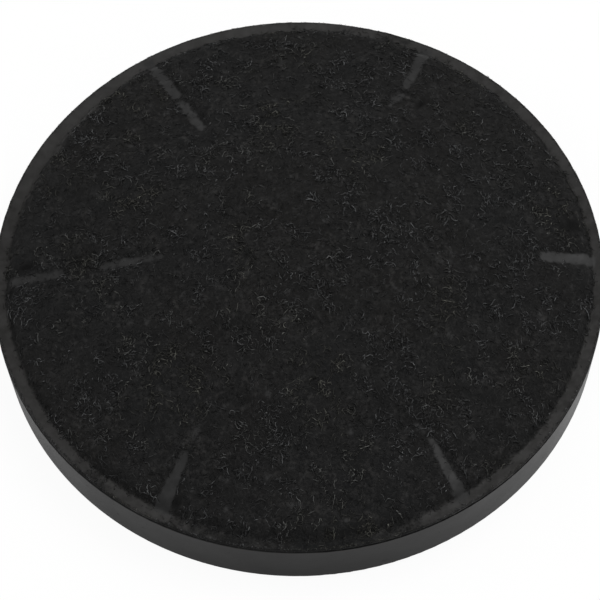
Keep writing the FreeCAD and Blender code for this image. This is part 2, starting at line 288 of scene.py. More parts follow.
@dataclass(frozen=True)
class NeedledFelt:
    """Black fleece with paler tufts and painted shade, smooth and faintly shiny where it is
    sealed.

    The first eight fields are the greys of its parts, the next two the mesh width of its
    finest fibres and how far those wander.
    """

    deep_shade: float = 0.003
    hollow_shade: float = 0.0062
    raised: float = 0.0145
    tuft: float = 0.033
    wisp: float = 0.022
    sealed: float = 0.027
    faint_stripe: float = 0.009
    clear_stripe: float = 0.034
    strand_mesh: float = 1.5 * MM
    warp: float = 1.8 * MM
    specular: float = 0.12

    def material(self) -> Material:
        """Build the material."""
        net = MaterialNet("needled_felt")
        clumps = net.noise(6 * MM, 3.0, 0.6)
        fine = net.noise(0.6 * MM, 2.0, 0.7)
        web = 1 - net.strands(self.strand_mesh, self.warp).between(0.02, 0.1)
        height = clumps * 0.55 + fine * 0.25 + web * 0.25
        fleece = self.fleece(net, clumps, height)

        ragged = net.noise(2.6 * MM, 4.0, 0.7) - 0.5
        patchy = net.noise(11 * MM, 2.0) - 0.5
        border = (net.attribute("border") + ragged * 1.5 + patchy * 1.1).between(0.15, 0.75)
        stripe = (net.attribute("stripe") + ragged * 1.2).between(0.15, 0.8)
        streak = net.noise(3.2 * MM, 3.0, 0.6).between(0.3, 0.7)
        # Painted sheen on the border, palest on the far side, plus its own streaks and patches.
        melt_and_sheen = net.attribute("melt_and_sheen") * 0.66 + streak * 0.3 + patchy * 0.5
        melt_with_sheen = net.mix(melt_and_sheen, grey(self.sealed * 0.35, 0.05), grey(self.sealed * 1.25, 0.02))
        clear = net.attribute("clear") + (streak - 0.5) * 0.25
        pressed = net.mix(clear, grey(self.faint_stripe), grey(self.clear_stripe))
        colour = net.mix(stripe, net.mix(border, fleece, melt_with_sheen), pressed)
        smooth = border + stripe - border * stripe
        rough = 1 - smooth * (streak * 0.15 + 0.35)
        open_bump = net.bump(height, 0.3 * MM, 0.8)
        sealed_bump = net.bump(streak + fine * 0.3, 0.07 * MM, 0.6)
        turn = net.add("ShaderNodeMix", {"data_type": "VECTOR"},
                       {0: smooth, 4: open_bump, 5: sealed_bump})
        return net.surface(Base_Color=colour, Roughness=rough, Normal=turn.outputs[1],
                           Specular_IOR_Level=self.specular)

    def fleece(self, net: MaterialNet, clumps: Shade, height: Shade) -> Socket:
        """Return open fleece's colour, with wisps, tufts and painted shade in low parts, gaps and
        dents.

        Args:
            net: The material that it belongs to.
            clumps: Where the fleece is thick.
            height: How high it stands.

        Returns:
            The colour.
        """
        tint = net.noise(30 * MM, 2.0).between(0.35, 0.65)
        # Painted shade: the fleece darkens from its raised grey to a darker one where it lies low.
        dark = net.mix(tint, grey(self.hollow_shade, 0.03), grey(self.hollow_shade, -0.03))
        colour = net.mix(height.between(0.25, 0.85), dark, grey(self.raised, 0.01))
        tufts = net.noise(3.4 * MM, 4.0, 0.66).between(0.56, 0.74) * clumps.between(0.36, 0.6)
        wisps = net.noise(1.5 * MM, 3.0, 0.6).between(0.5, 0.7)
        wisps = wisps * net.noise(8 * MM, 2.0).between(0.42, 0.62)
        colour = net.mix(wisps * 0.8, colour, grey(self.wisp, 0.03))
        colour = net.mix(tufts * 0.75, colour, grey(self.tuft))
        # Painted shade in the small gaps of the fleece.
        gap_shade_mask = 1 - net.noise(1.3 * MM, 2.0, 0.6).between(0.27, 0.37)
        colour = net.mix(gap_shade_mask * 0.85, colour, grey(self.deep_shade))
        # Painted shade in the dents.
        return net.mix(net.attribute("hollow_shade"), colour, grey(self.deep_shade))


@dataclass(frozen=True)
class StrandFibre:
    """Synthetic fibre whose tone differs from strand to strand, here and there olive, with painted
    glints.
    """

    dark: float = 0.004
    pale: float = 0.2
    olive: Colour = (0.202, 0.2, 0.174, 1.0)
    roughness: float = 0.55
    specular: float = 0.15

    def material(self) -> Material:
        """Build the material."""
        net = MaterialNet("strand_fibre")
        tone = net.attribute("tone")
        # Painted glints: a fine noise lightens short parts of each strand.
        along = net.noise(0.9 * MM, 2.0).between(0.36, 0.64)
        level = tone * (along * 1.2 + 0.25)
        tint = net.noise(25 * MM, 2.0).between(0.45, 0.65)
        pale = net.mix(tint, grey(self.pale, -0.02), self.olive)
        colour = net.mix(level.between(0.0, 1.0, Blend.LINEAR), grey(self.dark), pale)
        return net.surface(Base_Color=colour, Roughness=self.roughness,
                           Specular_IOR_Level=self.specular)


@dataclass(frozen=True)
class LinerFelt:
    """Thin black felt behind the grille, a mesh of fibres that wander, with shade painted between
    them.
    """

    low: float = 0.009
    high: float = 0.03
    mesh: float = 0.9 * MM
    warp: float = 1.1 * MM

    def material(self) -> Material:
        """Build the material."""
        net = MaterialNet("liner_felt")
        lines = 1 - net.strands(self.mesh, self.warp).between(0.02, 0.14)
        height = lines * 0.5 + net.noise(0.7 * MM, 3.0, 0.7) * 0.6
        # Painted shade: the felt darkens towards its low grey where it lies low, between the
        # fibres.
        colour = net.mix(height.between(0.25, 0.9), grey(self.low), grey(self.high, 0.01))
        normal = net.bump(height, 0.3 * MM, 0.9)
        return net.surface(Base_Color=colour, Roughness=0.95, Normal=normal)


@dataclass(frozen=True)
class CarbonGranules:
    """Loose black granules with dusty faces."""

    size: float = 3.0 * MM
    clean: float = 0.008
    dusty: float = 0.03

    def material(self) -> Material:
        """Build the material."""
        net = MaterialNet("carbon_granules")
        cells = net.add("ShaderNodeTexVoronoi", None,
                        {"Vector": net.place(), "Scale": 1 / self.size})
        away = Shade(net, cells.outputs["Distance"])
        tone = net.noise(1.5 * MM, 3.0)
        colour = net.mix(tone, grey(self.clean), grey(self.dusty))
        normal = net.bump(1 - away, 1.2 * MM)
        return net.surface(Base_Color=colour, Roughness=tone * 0.3 + 0.5, Normal=normal)


def deselect() -> None:
    """Leave object mode's selection empty."""
    bpy.ops.object.select_all(action="DESELECT")


@contextmanager
def all_selected_for_edit() -> Iterator[None]:
    """Work in edit mode on the active piece, with all of it selected."""
    bpy.ops.object.mode_set(mode="EDIT")
    bpy.ops.mesh.select_all(action="SELECT")
    yield
    bpy.ops.object.mode_set(mode="OBJECT")


def new_object(name: str, data: Any) -> Piece:
    """Put a mesh, a lamp or a camera in the scene.

    Args:
        name: The object's name.
        data: What it holds.

    Returns:
        The object.
    """
    holder = bpy.data.objects.new(name, data)
    bpy.context.scene.collection.objects.link(holder)
    return holder


def dress(piece: Piece, material: Material) -> None:
    """Give a finished piece one material all over, and report the piece."""
    piece.data.materials.clear()
    piece.data.materials.append(material)
    log.info("%s: %d faces", piece.name, len(piece.data.polygons))


def points_of(piece: Piece) -> Array:
    """Return a mesh's points as rows.

    Args:
        piece: The mesh's object.

    Returns:
        X, Y and Z of each point.
    """
    points = np.empty(len(piece.data.vertices) * 3)
    piece.data.vertices.foreach_get("co", points)
    return points.reshape(-1, 3)


def move_points(piece: Piece, points: Array) -> None:
    """Put a mesh's points at new places."""
    piece.data.vertices.foreach_set("co", points.ravel())
    piece.data.update()


def carry(piece: Piece, name: str, values: Array) -> None:
    """Store a value for each point of a mesh."""
    layer = piece.data.attributes.new(name, "FLOAT", "POINT")
    layer.data.foreach_set("value", values.astype(np.float32))


def smoothstep(value: Array, low: Any, high: Any) -> Array:
    """Ease from 0 at low to 1 at high."""
    share = np.clip((value - low) / (high - low), 0, 1)
    return share * share * (3 - 2 * share)


def by_direction(x: Array, y: Array, rows: tuple, column: int) -> Array:
    """Read a table whose rows start with a direction in degrees.

    Args:
        x: Where the points lie.
        y: Where they lie across that.
        rows: The table.
        column: The column that is read.

    Returns:
        The column's value in the direction of each point, even between two rows.
    """
    turns, values = [row[0] for row in rows], [row[column] for row in rows]
    return np.interp(np.degrees(np.arctan2(y, x)), turns, values, period=360)


class Ripple:
    """A smooth random surface, made of waves with fixed directions."""

    def __init__(self, size: float, waves: int, seed: int) -> None:
        """Choose the waves.

        Args:
            size: The typical length of a wave, in metres.
            waves: How many are added.
            seed: Fixes the choice.
        """
        chance = np.random.default_rng(seed)
        turn = chance.uniform(0, 2 * math.pi, waves)
        pace = 2 * math.pi / (size * chance.uniform(0.7, 1.6, waves))
        self.across, self.up = pace * np.cos(turn), pace * np.sin(turn)
        self.phase = chance.uniform(0, 2 * math.pi, waves)
        self.share = 1 / math.sqrt(waves / 2)

    def __call__(self, x: Array, y: Array) -> Array:
        """Return the height at points, about -2 to 2.

        Args:
            x: The points' X.
            y: And their Y.

        Returns:
            The height of each.
        """
        total = np.zeros_like(x)
        for across, up, phase in zip(self.across, self.up, self.phase):
            total += np.sin(across * x + up * y + phase)
        return total * self.share


@dataclass(frozen=True)
class Stripe:
    """A stripe where the felt is sealed onto a web, or the trace where it nearly is.

    Args:
        web: The web's number, counted from +X.
        outer: Where the stripe starts, from the middle.
        inner: Where it ends.
        width: Its width at the outer and the inner end.
        off: How far it lies beside the web's middle at those ends.
        clear: How pale it is, from 0 to 1.
        cover: How much of it is sealed, from 0 to 1.
    """

    web: int
    outer: float
    inner: float
    width: tuple[float, float]
    off: tuple[float, float]
    clear: float
    cover: float = 1.0

    def at(self, x: Array, y: Array) -> tuple[Array, Array]:
        """Return how far the felt is sealed, and how far it is pressed, at points.

        Args:
            x: The points' X.
            y: And their Y.

        Returns:
            Both, from 0 to 1, for each point.
        """
        turn = SECTOR * self.web
        along = x * math.cos(turn) + y * math.sin(turn)
        share = np.clip((self.outer - along) / (self.outer - self.inner), 0, 1)
        middle = self.off[0] + (self.off[1] - self.off[0]) * share
        half = (self.width[0] + (self.width[1] - self.width[0]) * share) / 2
        half = half + STRIPE_RAGGED * EDGE_WANDER(x, y)
        off = np.abs(y * math.cos(turn) - x * math.sin(turn) - middle)
        outside = np.hypot(off, np.maximum(self.inner + half - along, 0)) - half
        outside = np.maximum(outside, along - self.outer)
        sealed = self.cover * (1 - smoothstep(outside, -STRIPE_SOFT, STRIPE_SOFT))
        valley = self.cover * (1 - smoothstep(outside, -0.4 * half, 2.6 * MM))
        return sealed, valley


@dataclass(frozen=True)
class Dent:
    """A dent in the fleece, with shade painted into it.

    Args:
        turn: Its direction from +X, in degrees.
        radius: Its distance from the middle.
        length: Its size round the disc.
        width: Its size along the radius.
    """

    turn: float
    radius: float
    length: float
    width: float

    def at(self, x: Array, y: Array) -> Array:
        """Return how deep the felt lies at points, from 0 to 1."""
        turn = math.radians(self.turn)
        along = x * math.cos(turn) + y * math.sin(turn) - self.radius
        across = y * math.cos(turn) - x * math.sin(turn)
        return np.exp(-((2 * across / self.length) ** 2) - (2 * along / self.width) ** 2)


WEBS = 6
SECTOR = 2 * math.pi / WEBS
STRIPE_RAGGED = 0.15 * MM
STRIPE_SOFT = 1.0 * MM
EDGE_WANDER = Ripple(2.6 * MM, 24, seed=12)
LUMPS = Ripple(13 * MM, 14, seed=3)
NAP = Ripple(3.2 * MM, 22, seed=5)
FRAY = Ripple(5.0 * MM, 24, seed=8)
CLUSTERS = Ripple(9 * MM, 16, seed=40)
REGIONS = Ripple(30 * MM, 12, seed=41)
STRIPES = (
    Stripe(0, *mm(92.4, 74.6), mm(3.8, 3.4), mm(-1.2, -2.2), 0.72),
    Stripe(1, *mm(92.8, 71.0), mm(4.4, 2.2), mm(1.3, -1.3), 0.38),
    Stripe(1, *mm(69.0, 61.0), mm(2.8, 2.2), mm(-1.3, -0.5), 0.4, 0.74),
    Stripe(2, *mm(92.8, 71.0), mm(3.2, 3.4), mm(-0.9, 0.3), 0.42),
    Stripe(2, *mm(69.4, 53.0), mm(3.4, 2.8), mm(0.6, 1.5), 0.6, 0.72),
    Stripe(3, *mm(90.0, 72.0), mm(3.4, 2.6), mm(0.5, 1.5), 0.28, 0.9),
    Stripe(3, *mm(61.0, 41.0), mm(3.2, 2.2), mm(1.7, 2.1), 0.42, 0.66),
    Stripe(4, *mm(92.0, 73.6), mm(5.0, 2.2), mm(1.9, 0.9), 0.3),
    Stripe(4, *mm(71.0, 62.0), mm(2.8, 2.2), mm(0.7, 1.6), 0.35, 0.42),
    Stripe(5, *mm(92.6, 73.0), mm(4.2, 1.5), mm(-0.8, 0.2), 0.48),
    Stripe(5, *mm(71.6, 66.5), mm(2.0, 1.6), mm(-0.5, -1.4), 0.3, 0.52),
)
DENTS = (
    Dent(6.8, *mm(86.4, 4.6, 7.4)),
    Dent(177.8, *mm(84.0, 2.4, 6.5)),
    Dent(243.4, *mm(88.0, 4.4, 2.8)),
    Dent(52.7, *mm(68.0, 2.2, 4.6)),
    Dent(182.6, *mm(89.0, 3.4, 2.4)),
    Dent(118.4, *mm(89.5, 3.0, 2.4)),
)

# Direction in degrees, then the sealed border's width in millimetres, its paleness, which is
# partly painted sheen strongest on the far side, and how many millimetres deep its inner side is
# ragged.
BORDER = (
    (0, 3.1, 0.20, 1.2), (25, 3.9, 0.24, 1.0), (60, 4.4, 0.50, 0.9), (85, 4.5, 0.80, 0.9),
    (118, 4.5, 0.68, 1.2), (132, 4.8, 0.60, 4.5), (150, 4.9, 0.40, 4.5), (165, 4.4, 0.22, 2.2),
    (180, 3.8, 0.16, 1.2), (210, 4.2, 0.30, 1.2), (240, 3.9, 0.45, 1.6), (270, 3.2, 0.40, 2.4),
    (300, 3.6, 0.40, 1.4), (340, 3.6, 0.22, 1.2),
)
# Direction in degrees, and how many millimetres the cut edge lies inside the rim's edge.
TRIM = (
    (0, 0.08), (45, 0.10), (75, 0.58), (92, 0.48), (110, 0.30), (135, 0.28), (150, 0.12),
    (168, 0.10), (190, 0.20), (225, 0.30), (255, 0.22), (285, 0.14), (325, 0.18), (345, 0.12),
)
# Where loose fleece hides the border: direction and half width in degrees, and its share.
COVERED = ((268, 26, 0.95), (72, 14, 0.5), (228, 8, 0.5))


@dataclass
class FeltDisc:
    """The felt face: sealed border, ramp, six stripes and a crowned middle.

    Args:
        foot: The felt's underside rises inside this distance from the rim's edge.
        sealed: The felt's thickness in the border.
        pressed: Its thickness in a stripe.
        dent: How deep a dent is.
        open: Its thickness elsewhere.
        ramp: From the border to the full thickness.
        slope: Of the tented felt, in radians.
        ease: Inside this radius the slope levels off.
        rounding: How far the cut edge's corner drops.
        lump: The height of the large lumps.
        grain: The height of the small ones.
        ragged: How far the border's inner side wanders.
        frayed: How far the cut edge wanders.
        hem_rings: Rings from the edge inwards, as distance apart and number.
        open_rings: Rings over the open felt.
        under_rings: Rings of the underside.
        sector_steps: Divisions from web to web.
        fine_steps: Those gathered on each side of a web.
        fine_angle: How far they reach from it, in radians.
    """

    foot: float = 4.0 * MM
    sealed: float = 0.9 * MM
    pressed: float = 2.6 * MM
    dent: float = 1.0 * MM
    open: float = 3.6 * MM
    ramp: float = 3.0 * MM
    slope: float = math.radians(16.5)
    ease: float = 44.0 * MM
    rounding: float = 0.35 * MM
    lump: float = 0.25 * MM
    grain: float = 0.1 * MM
    ragged: float = 0.25 * MM
    frayed: float = 0.03 * MM
    hem_rings: tuple = ((0.25 * MM, 24), (0.45 * MM, 6))
    open_rings: int = 96
    under_rings: int = 14
    sector_steps: int = 64
    fine_steps: int = 12
    fine_angle: float = math.radians(3.4)
    radius: float = field(init=False)
    rim: float = field(init=False)

    def __post_init__(self) -> None:
        """Read the disc's place from the frame."""
        self.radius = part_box("housing")[1].x
        self.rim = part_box("front_felt")[0].z

    def underside(self, radius: Array) -> Array:
        """Return the height of the felt's underside at a radius.

        Args:
            radius: The points' distance from the middle.

        Returns:
            The height of each.
        """
        foot = self.radius - self.foot
        tan = math.tan(self.slope)
        cone = self.rim + np.maximum(foot - radius, 0) * tan
        bend = self.ease / math.sin(self.slope)
        inside = np.minimum(radius, self.ease)
        dome = np.sqrt(bend**2 - inside**2) - bend * math.cos(self.slope)
        return np.where(radius < self.ease, self.rim + (foot - self.ease) * tan + dome, cone)

    def width_at(self, x: Array, y: Array) -> Array:
        """Return the border's width in the direction of points."""
        return by_direction(x, y, BORDER, 1) * MM - self.ragged * FRAY(x, y)

    def inside_border(self, x: Array, y: Array) -> Array:
        """Return how far points lie inside the border's inner side."""
        return self.radius - self.width_at(x, y) - np.hypot(x, y)

    def edge_at(self, x: Array, y: Array) -> Array:
        """Return the radius of the cut edge in the direction of points."""
        return self.radius - by_direction(x, y, TRIM, 1) * MM - self.frayed * FRAY(x, y)

    def cover_at(self, x: Array, y: Array) -> Array:
        """Return how far loose fleece hides the border at points, from 0 to 1."""
        turn = np.degrees(np.arctan2(y, x)) % 360
        return np.maximum.reduce([share * np.exp(-(((turn - middle) / half) ** 2))
                                  for middle, half, share in COVERED])

    def border_at(self, x: Array, y: Array) -> Array:
        """Return how far the felt is sealed to the rim at points.

        Args:
            x: The points' X.
            y: And their Y.

        Returns:
            The share of each, from 0 to 1.
        """
        radius, edge = np.hypot(x, y), self.edge_at(x, y)
        depth = by_direction(x, y, BORDER, 3) * MM
        border = 1 - smoothstep(self.inside_border(x, y), -0.9 * MM, depth)
        border = border * (1 - self.cover_at(x, y))
        return border * (1 - 0.45 * smoothstep(radius, edge - 0.6 * MM, edge))

    def stripes_at(self, x: Array, y: Array) -> tuple[Array, ...]:
        """Return how far the felt is sealed to a web, how pale, and how far it is pressed.

        Args:
            x: The points' X.
            y: And their Y.

        Returns:
            The three shares of each point, from 0 to 1.
        """
        sealed, clear, pressed = (np.zeros_like(x) for _ in range(3))
        for row in STRIPES:
            stripe, valley = row.at(x, y)
            clear = np.where(valley > pressed, row.clear, clear)
            sealed = np.maximum(sealed, stripe)
            pressed = np.maximum(pressed, valley)
        return sealed, clear, pressed

    def dents_at(self, x: Array, y: Array) -> Array:
        """Return how deep the felt's hollows are at points, from 0 to 1."""
        return np.maximum.reduce([dent.at(x, y) for dent in DENTS])

    def top(self, x: Array, y: Array) -> Array:
        """Return the height of the felt's face at points.

        Args:
            x: The points' X.
            y: And their Y.

        Returns:
            The height of each.
        """
        radius = np.hypot(x, y)
        inside = self.inside_border(x, y)
        calm = smoothstep(inside, 0, 8 * MM)
        stripe, _, valley = self.stripes_at(x, y)
        loose = self.open + self.lump * LUMPS(x, y) * calm
        loose += self.grain * NAP(x, y) * (1 - stripe)
        loose += (self.pressed - self.open) * valley - self.dent * self.dents_at(x, y)
        rise = smoothstep(inside, -0.3 * MM, self.ramp)
        level = np.where(radius > self.radius - self.foot, self.rim, self.underside(radius))
        return level + self.sealed + (loose - self.sealed) * rise

    def profile(self) -> list[tuple[float, float, float]]:
        """Lay out half of the disc's section.

        Returns:
            Its points, from the middle of the underside out and back over the top.
        """
        outer = self.radius
        below = [0.0, *np.linspace(6 * MM, outer - self.foot, self.under_rings), outer]
        points = [(r, 0.0, float(self.underside(np.array(r)))) for r in below]
        points.append((outer, 0.0, self.rim + 0.5 * self.sealed))
        steps = np.concatenate([[step] * number for step, number in self.hem_rings])
        radii = outer - np.concatenate([[0.0], np.cumsum(steps)])
        inner = np.linspace(radii[-1], 0.0, self.open_rings)
        for r in [*radii, *inner[1:]]:
            height = self.rim + self.open + float(self.underside(np.array(r)))
            points.append((float(r), 0.0, height))
        return points

    def build(self) -> Piece:
        """Spin the outline into a disc, gather its steps at the webs and shape its face.

        Returns:
            The felt disc.
        """
        mesh = bpy.data.meshes.new("felt_disc")
        outline = self.profile()
        mesh.from_pydata(outline, [(i, i + 1) for i in range(len(outline) - 1)], [])
        disc = new_object("felt_disc", mesh)
        deselect()
        disc.select_set(True)
        bpy.context.view_layer.objects.active = disc
        with all_selected_for_edit():
            bpy.ops.mesh.spin(steps=self.sector_steps * WEBS, angle=2 * math.pi,
                              center=(0, 0, 0), axis=(0, 0, 1))
            bpy.ops.mesh.select_all(action="SELECT")
            bpy.ops.mesh.remove_doubles(threshold=0.005 * MM)
            bpy.ops.mesh.normals_make_consistent(inside=False)
        self._shape(disc)
        bpy.ops.object.shade_smooth()
        return disc

    def _shape(self, disc: Piece) -> None:
        """Move the points of the spun disc to the felt's real surface.

        Args:
            disc: The spun disc.
        """
        points = points_of(disc)
        x, y, z = points.T
        radius = np.hypot(x, y)
        turn = np.arctan2(y, x) % (2 * math.pi)
        share = (turn % SECTOR) / SECTOR * self.sector_steps
        limits = [0, self.fine_steps, self.sector_steps - self.fine_steps, self.sector_steps]
        angles = [0, self.fine_angle, SECTOR - self.fine_angle, SECTOR]
        turn = turn // SECTOR * SECTOR + np.interp(share, limits, angles)
        facing = z > self.underside(radius) + 0.5 * self.open
        x[:] = radius * np.cos(turn)
        y[:] = radius * np.sin(turn)
        edge = self.edge_at(x, y)
        trim = smoothstep(radius, self.radius - 5 * MM, self.radius)
        points[:, :2] *= (1 - trim * (1 - edge / self.radius))[:, None]
        rounded = smoothstep(radius, self.radius - 0.5 * MM, self.radius) * self.rounding
        z[:] = np.where(facing, self.top(x, y) - rounded, z)
        move_points(disc, points)
        stripe, clear, _ = self.stripes_at(x, y)
        carry(disc, "border", self.border_at(x, y))
        # The sealed border's paleness by direction, partly painted sheen.
        carry(disc, "melt_and_sheen", by_direction(x, y, BORDER, 2))
        carry(disc, "stripe", stripe)
        carry(disc, "clear", clear)
        # How deep each dent is, which also paints shade into it.
        carry(disc, "hollow_shade", self.dents_at(x, y))


class Zone(Enum):
    """Where strands lie."""

    FACE = "all over the open felt"
    BORDER = "along the sealed border and beside the stripes"
    EDGE = "round the cut edge"


@dataclass(frozen=True)
class Strands:
    """One kind of strand.

    Args:
        name: The piece's name.
        zone: Where the strands lie.
        count: How many are drawn, before some are left out.
        joints: How many bends a strand has.
        length: The shortest and the longest, apart from a few.
        thickness: The thinnest and the thickest.
        tone: The darkest and the palest.
        pale_share: How the tones gather: high numbers leave few pale strands.
        curl: How far a strand turns, in radians.
        arch: How far its middle stands out.
        clustered: From 0 for an even spread to 1 for clusters only.
    """

    name: str
    zone: Zone
    count: int
    joints: int
    length: tuple[float, float]
    thickness: tuple[float, float]
    tone: tuple[float, float]
    pale_share: float
    curl: float
    arch: float
    clustered: float


STRANDS = (
    Strands("felt_nap", Zone.FACE, 9400, 3, mm(1.2, 3.4), mm(0.09, 0.17),
            (0.0, 0.16), 2.4, 0.7, 0.25 * MM, 0.2),
    Strands("felt_tufts", Zone.FACE, 7600, 3, mm(0.8, 3.4), mm(0.32, 0.66),
            (0.03, 0.24), 2.0, 0.8, 0.2 * MM, 0.97),
    Strands("felt_tangle", Zone.FACE, 7600, 4, mm(1.6, 4.4), mm(0.12, 0.26),
            (0.02, 0.28), 2.0, 0.9, 0.35 * MM, 0.5),
    Strands("felt_strands", Zone.FACE, 7600, 6, mm(2.0, 6.0), mm(0.18, 0.40),
            (0.08, 0.50), 2.4, 1.2, 0.5 * MM, 0.98),
    Strands("felt_specks", Zone.FACE, 6400, 2, mm(0.5, 1.9), mm(0.18, 0.40),
            (0.10, 0.75), 2.4, 0.6, 0.35 * MM, 0.97),
    Strands("felt_fuzz", Zone.BORDER, 5600, 3, mm(0.9, 3.0), mm(0.10, 0.18),
            (0.0, 0.26), 2.2, 1.5, 0.15 * MM, 0.3),
    Strands("felt_edge", Zone.EDGE, 5200, 3, mm(0.5, 2.0), mm(0.08, 0.15),
            (0.05, 0.50), 2.2, 1.5, 0.12 * MM, 0.2),
)
FIRST_STRAND_SEED = 100


@dataclass
class FibreCoat:
    """Curly fibres that stand out of the felt, bent one by one from a straight strand.

    Args:
        felt: The disc that they grow from.
        kind: The kind of strand.
        chance: The seeded source of their variety.
        rim_gap: Strands of the face start this far inside the rim's edge.
        edge_inset: Those of the edge lie this far inside it.
        edge_scatter: How far they are spread round that.
        border_scatter: How far those of the border are spread.
        web_reach: Where those beside a stripe lie, from the middle.
        web_scatter: How far they are spread beside it.
        ripple: The height of the small waves along a strand.
        tip: The thickness of its ends, as a share of the rest's.
        hang: The least and the most that those of the edge hang over it.
    """

    felt: FeltDisc
    kind: Strands
    chance: np.random.Generator
    rim_gap: float = 0.8 * MM
    edge_inset: float = 0.2 * MM
    edge_scatter: float = 0.25 * MM
    border_scatter: float = 0.8 * MM
    web_reach: tuple[float, float] = (60 * MM, 91 * MM)
    web_scatter: float = 2.2 * MM
    ripple: float = 0.08 * MM
    tip: float = 0.45
    hang: tuple[float, float] = (0.1 * MM, 1.3 * MM)

    def straight_strand(self) -> tuple[Array, Array]:
        """Model one strand along +Z, as a three-sided rod with even joints.

        Returns:
            Its points, as share of the length and place round the rod, and its faces.
        """
        joints = self.kind.joints
        deselect()
        bpy.ops.mesh.primitive_cylinder_add(vertices=3, radius=1, depth=1, location=(0, 0, 0.5))
        rod = bpy.context.object
        bpy.ops.object.transform_apply()
        with all_selected_for_edit():
            for joint in range(1, joints):
                bpy.ops.mesh.bisect(plane_co=(0, 0, joint / joints), plane_no=(0, 0, 1))
                bpy.ops.mesh.select_all(action="SELECT")
            bpy.ops.mesh.quads_convert_to_tris()
        points = points_of(rod)
        faces = np.array([list(face.vertices) for face in rod.data.polygons])
        bpy.data.objects.remove(rod)
        return points, faces

    def places(self) -> tuple[Array, Array]:
        """Scatter the strands' middles over their zone.

        Returns:
            Their X and Y.
        """
        count, felt, chance = self.kind.count, self.felt, self.chance
        turn = chance.uniform(0, 2 * math.pi, count)
        if self.kind.zone is Zone.FACE:
            radius = (felt.radius - self.rim_gap) * np.sqrt(chance.uniform(0, 1, count))
        elif self.kind.zone is Zone.EDGE:
            radius = felt.edge_at(np.cos(turn), np.sin(turn)) - self.edge_inset
            radius += self.edge_scatter * chance.normal(0, 1, count)
        else:
            near = 90 * MM
            radius = felt.radius - felt.width_at(near * np.cos(turn), near * np.sin(turn))
            radius += self.border_scatter * chance.normal(0, 1, count)
            beside = count // 3
            web = SECTOR * chance.integers(0, WEBS, beside)
            radius[:beside] = chance.uniform(*self.web_reach, beside)
            turn[:beside] = web + chance.normal(0, self.web_scatter, beside) / radius[:beside]
        return radius * np.cos(turn), radius * np.sin(turn)

    def paths(self) -> tuple[Array, Array, Array]:
        """Draw the curls of the strands.

        Returns:
            X, Y and height over the felt at each joint.
        """
        kind, chance = self.kind, self.chance
        count, nodes = kind.count, kind.joints + 1
        short, long = kind.length
        length = short + (long - short) * chance.beta(1.6, 3.2, count)
        middle_x, middle_y = self.places()
        share = np.linspace(0, 1, kind.joints)
        start, phase = chance.uniform(0, 2 * math.pi, (2, count))
        if kind.zone is Zone.EDGE:
            start = np.arctan2(middle_y, middle_x) + math.pi / 2 + chance.normal(0, 0.6, count)
        curl = chance.normal(0, kind.curl, count)[:, None]
        wave = chance.normal(0, 0.6 * kind.curl, count)[:, None]
        kink = chance.normal(0, 0.35, (count, kind.joints))
        heading = start[:, None] + curl * share + kink
        heading += wave * np.sin(2 * math.pi * share + phase[:, None])
        step = (length / kind.joints)[:, None]
        x, y = np.zeros((count, nodes)), np.zeros((count, nodes))
        x[:, 1:] = np.cumsum(step * np.cos(heading), axis=1)
        y[:, 1:] = np.cumsum(step * np.sin(heading), axis=1)
        x += middle_x[:, None] - x.mean(axis=1, keepdims=True)
        y += middle_y[:, None] - y.mean(axis=1, keepdims=True)
        along = np.linspace(0, 1, nodes)
        arch = kind.arch * chance.gamma(2.0, 0.5, count)[:, None]
        sway = chance.uniform(0, 2 * math.pi, count)[:, None]
        lift = arch * (np.sin(math.pi * along) - 0.15) + self.ripple * np.sin(6 * along + sway)
        return x, y, lift

    def kept(self, x: Array, y: Array) -> Array:
        """Choose the strands that stay: few on sealed felt and in hollows, more in clusters.

        Args:
            x: Each strand's joints along X.
            y: And along Y.

        Returns:
            Whether each stays.
        """
        kind, felt, chance = self.kind, self.felt, self.chance
        beyond = np.hypot(x, y) - felt.edge_at(x, y)
        if kind.zone is Zone.EDGE:
            return (beyond < 0.1 * MM).all(axis=1)
        sealed = np.maximum.reduce([felt.border_at(x, y), felt.stripes_at(x, y)[0],
                                    felt.dents_at(x, y)])
        most, bias = (0.95, 0.8) if kind.zone is Zone.BORDER else (0.75, 1.4)
        stay = sealed.mean(axis=1) < most * chance.uniform(0, 1, len(x)) ** bias + 0.02
        stay &= (beyond < -0.2 * MM).all(axis=1)
        middle = x.mean(axis=1), y.mean(axis=1)
        crowd = smoothstep(CLUSTERS(*middle) + 0.8 * REGIONS(*middle), -0.4, 1.5)
        return stay & (chance.uniform(0, 1, len(x)) > kind.clustered * (1 - crowd))

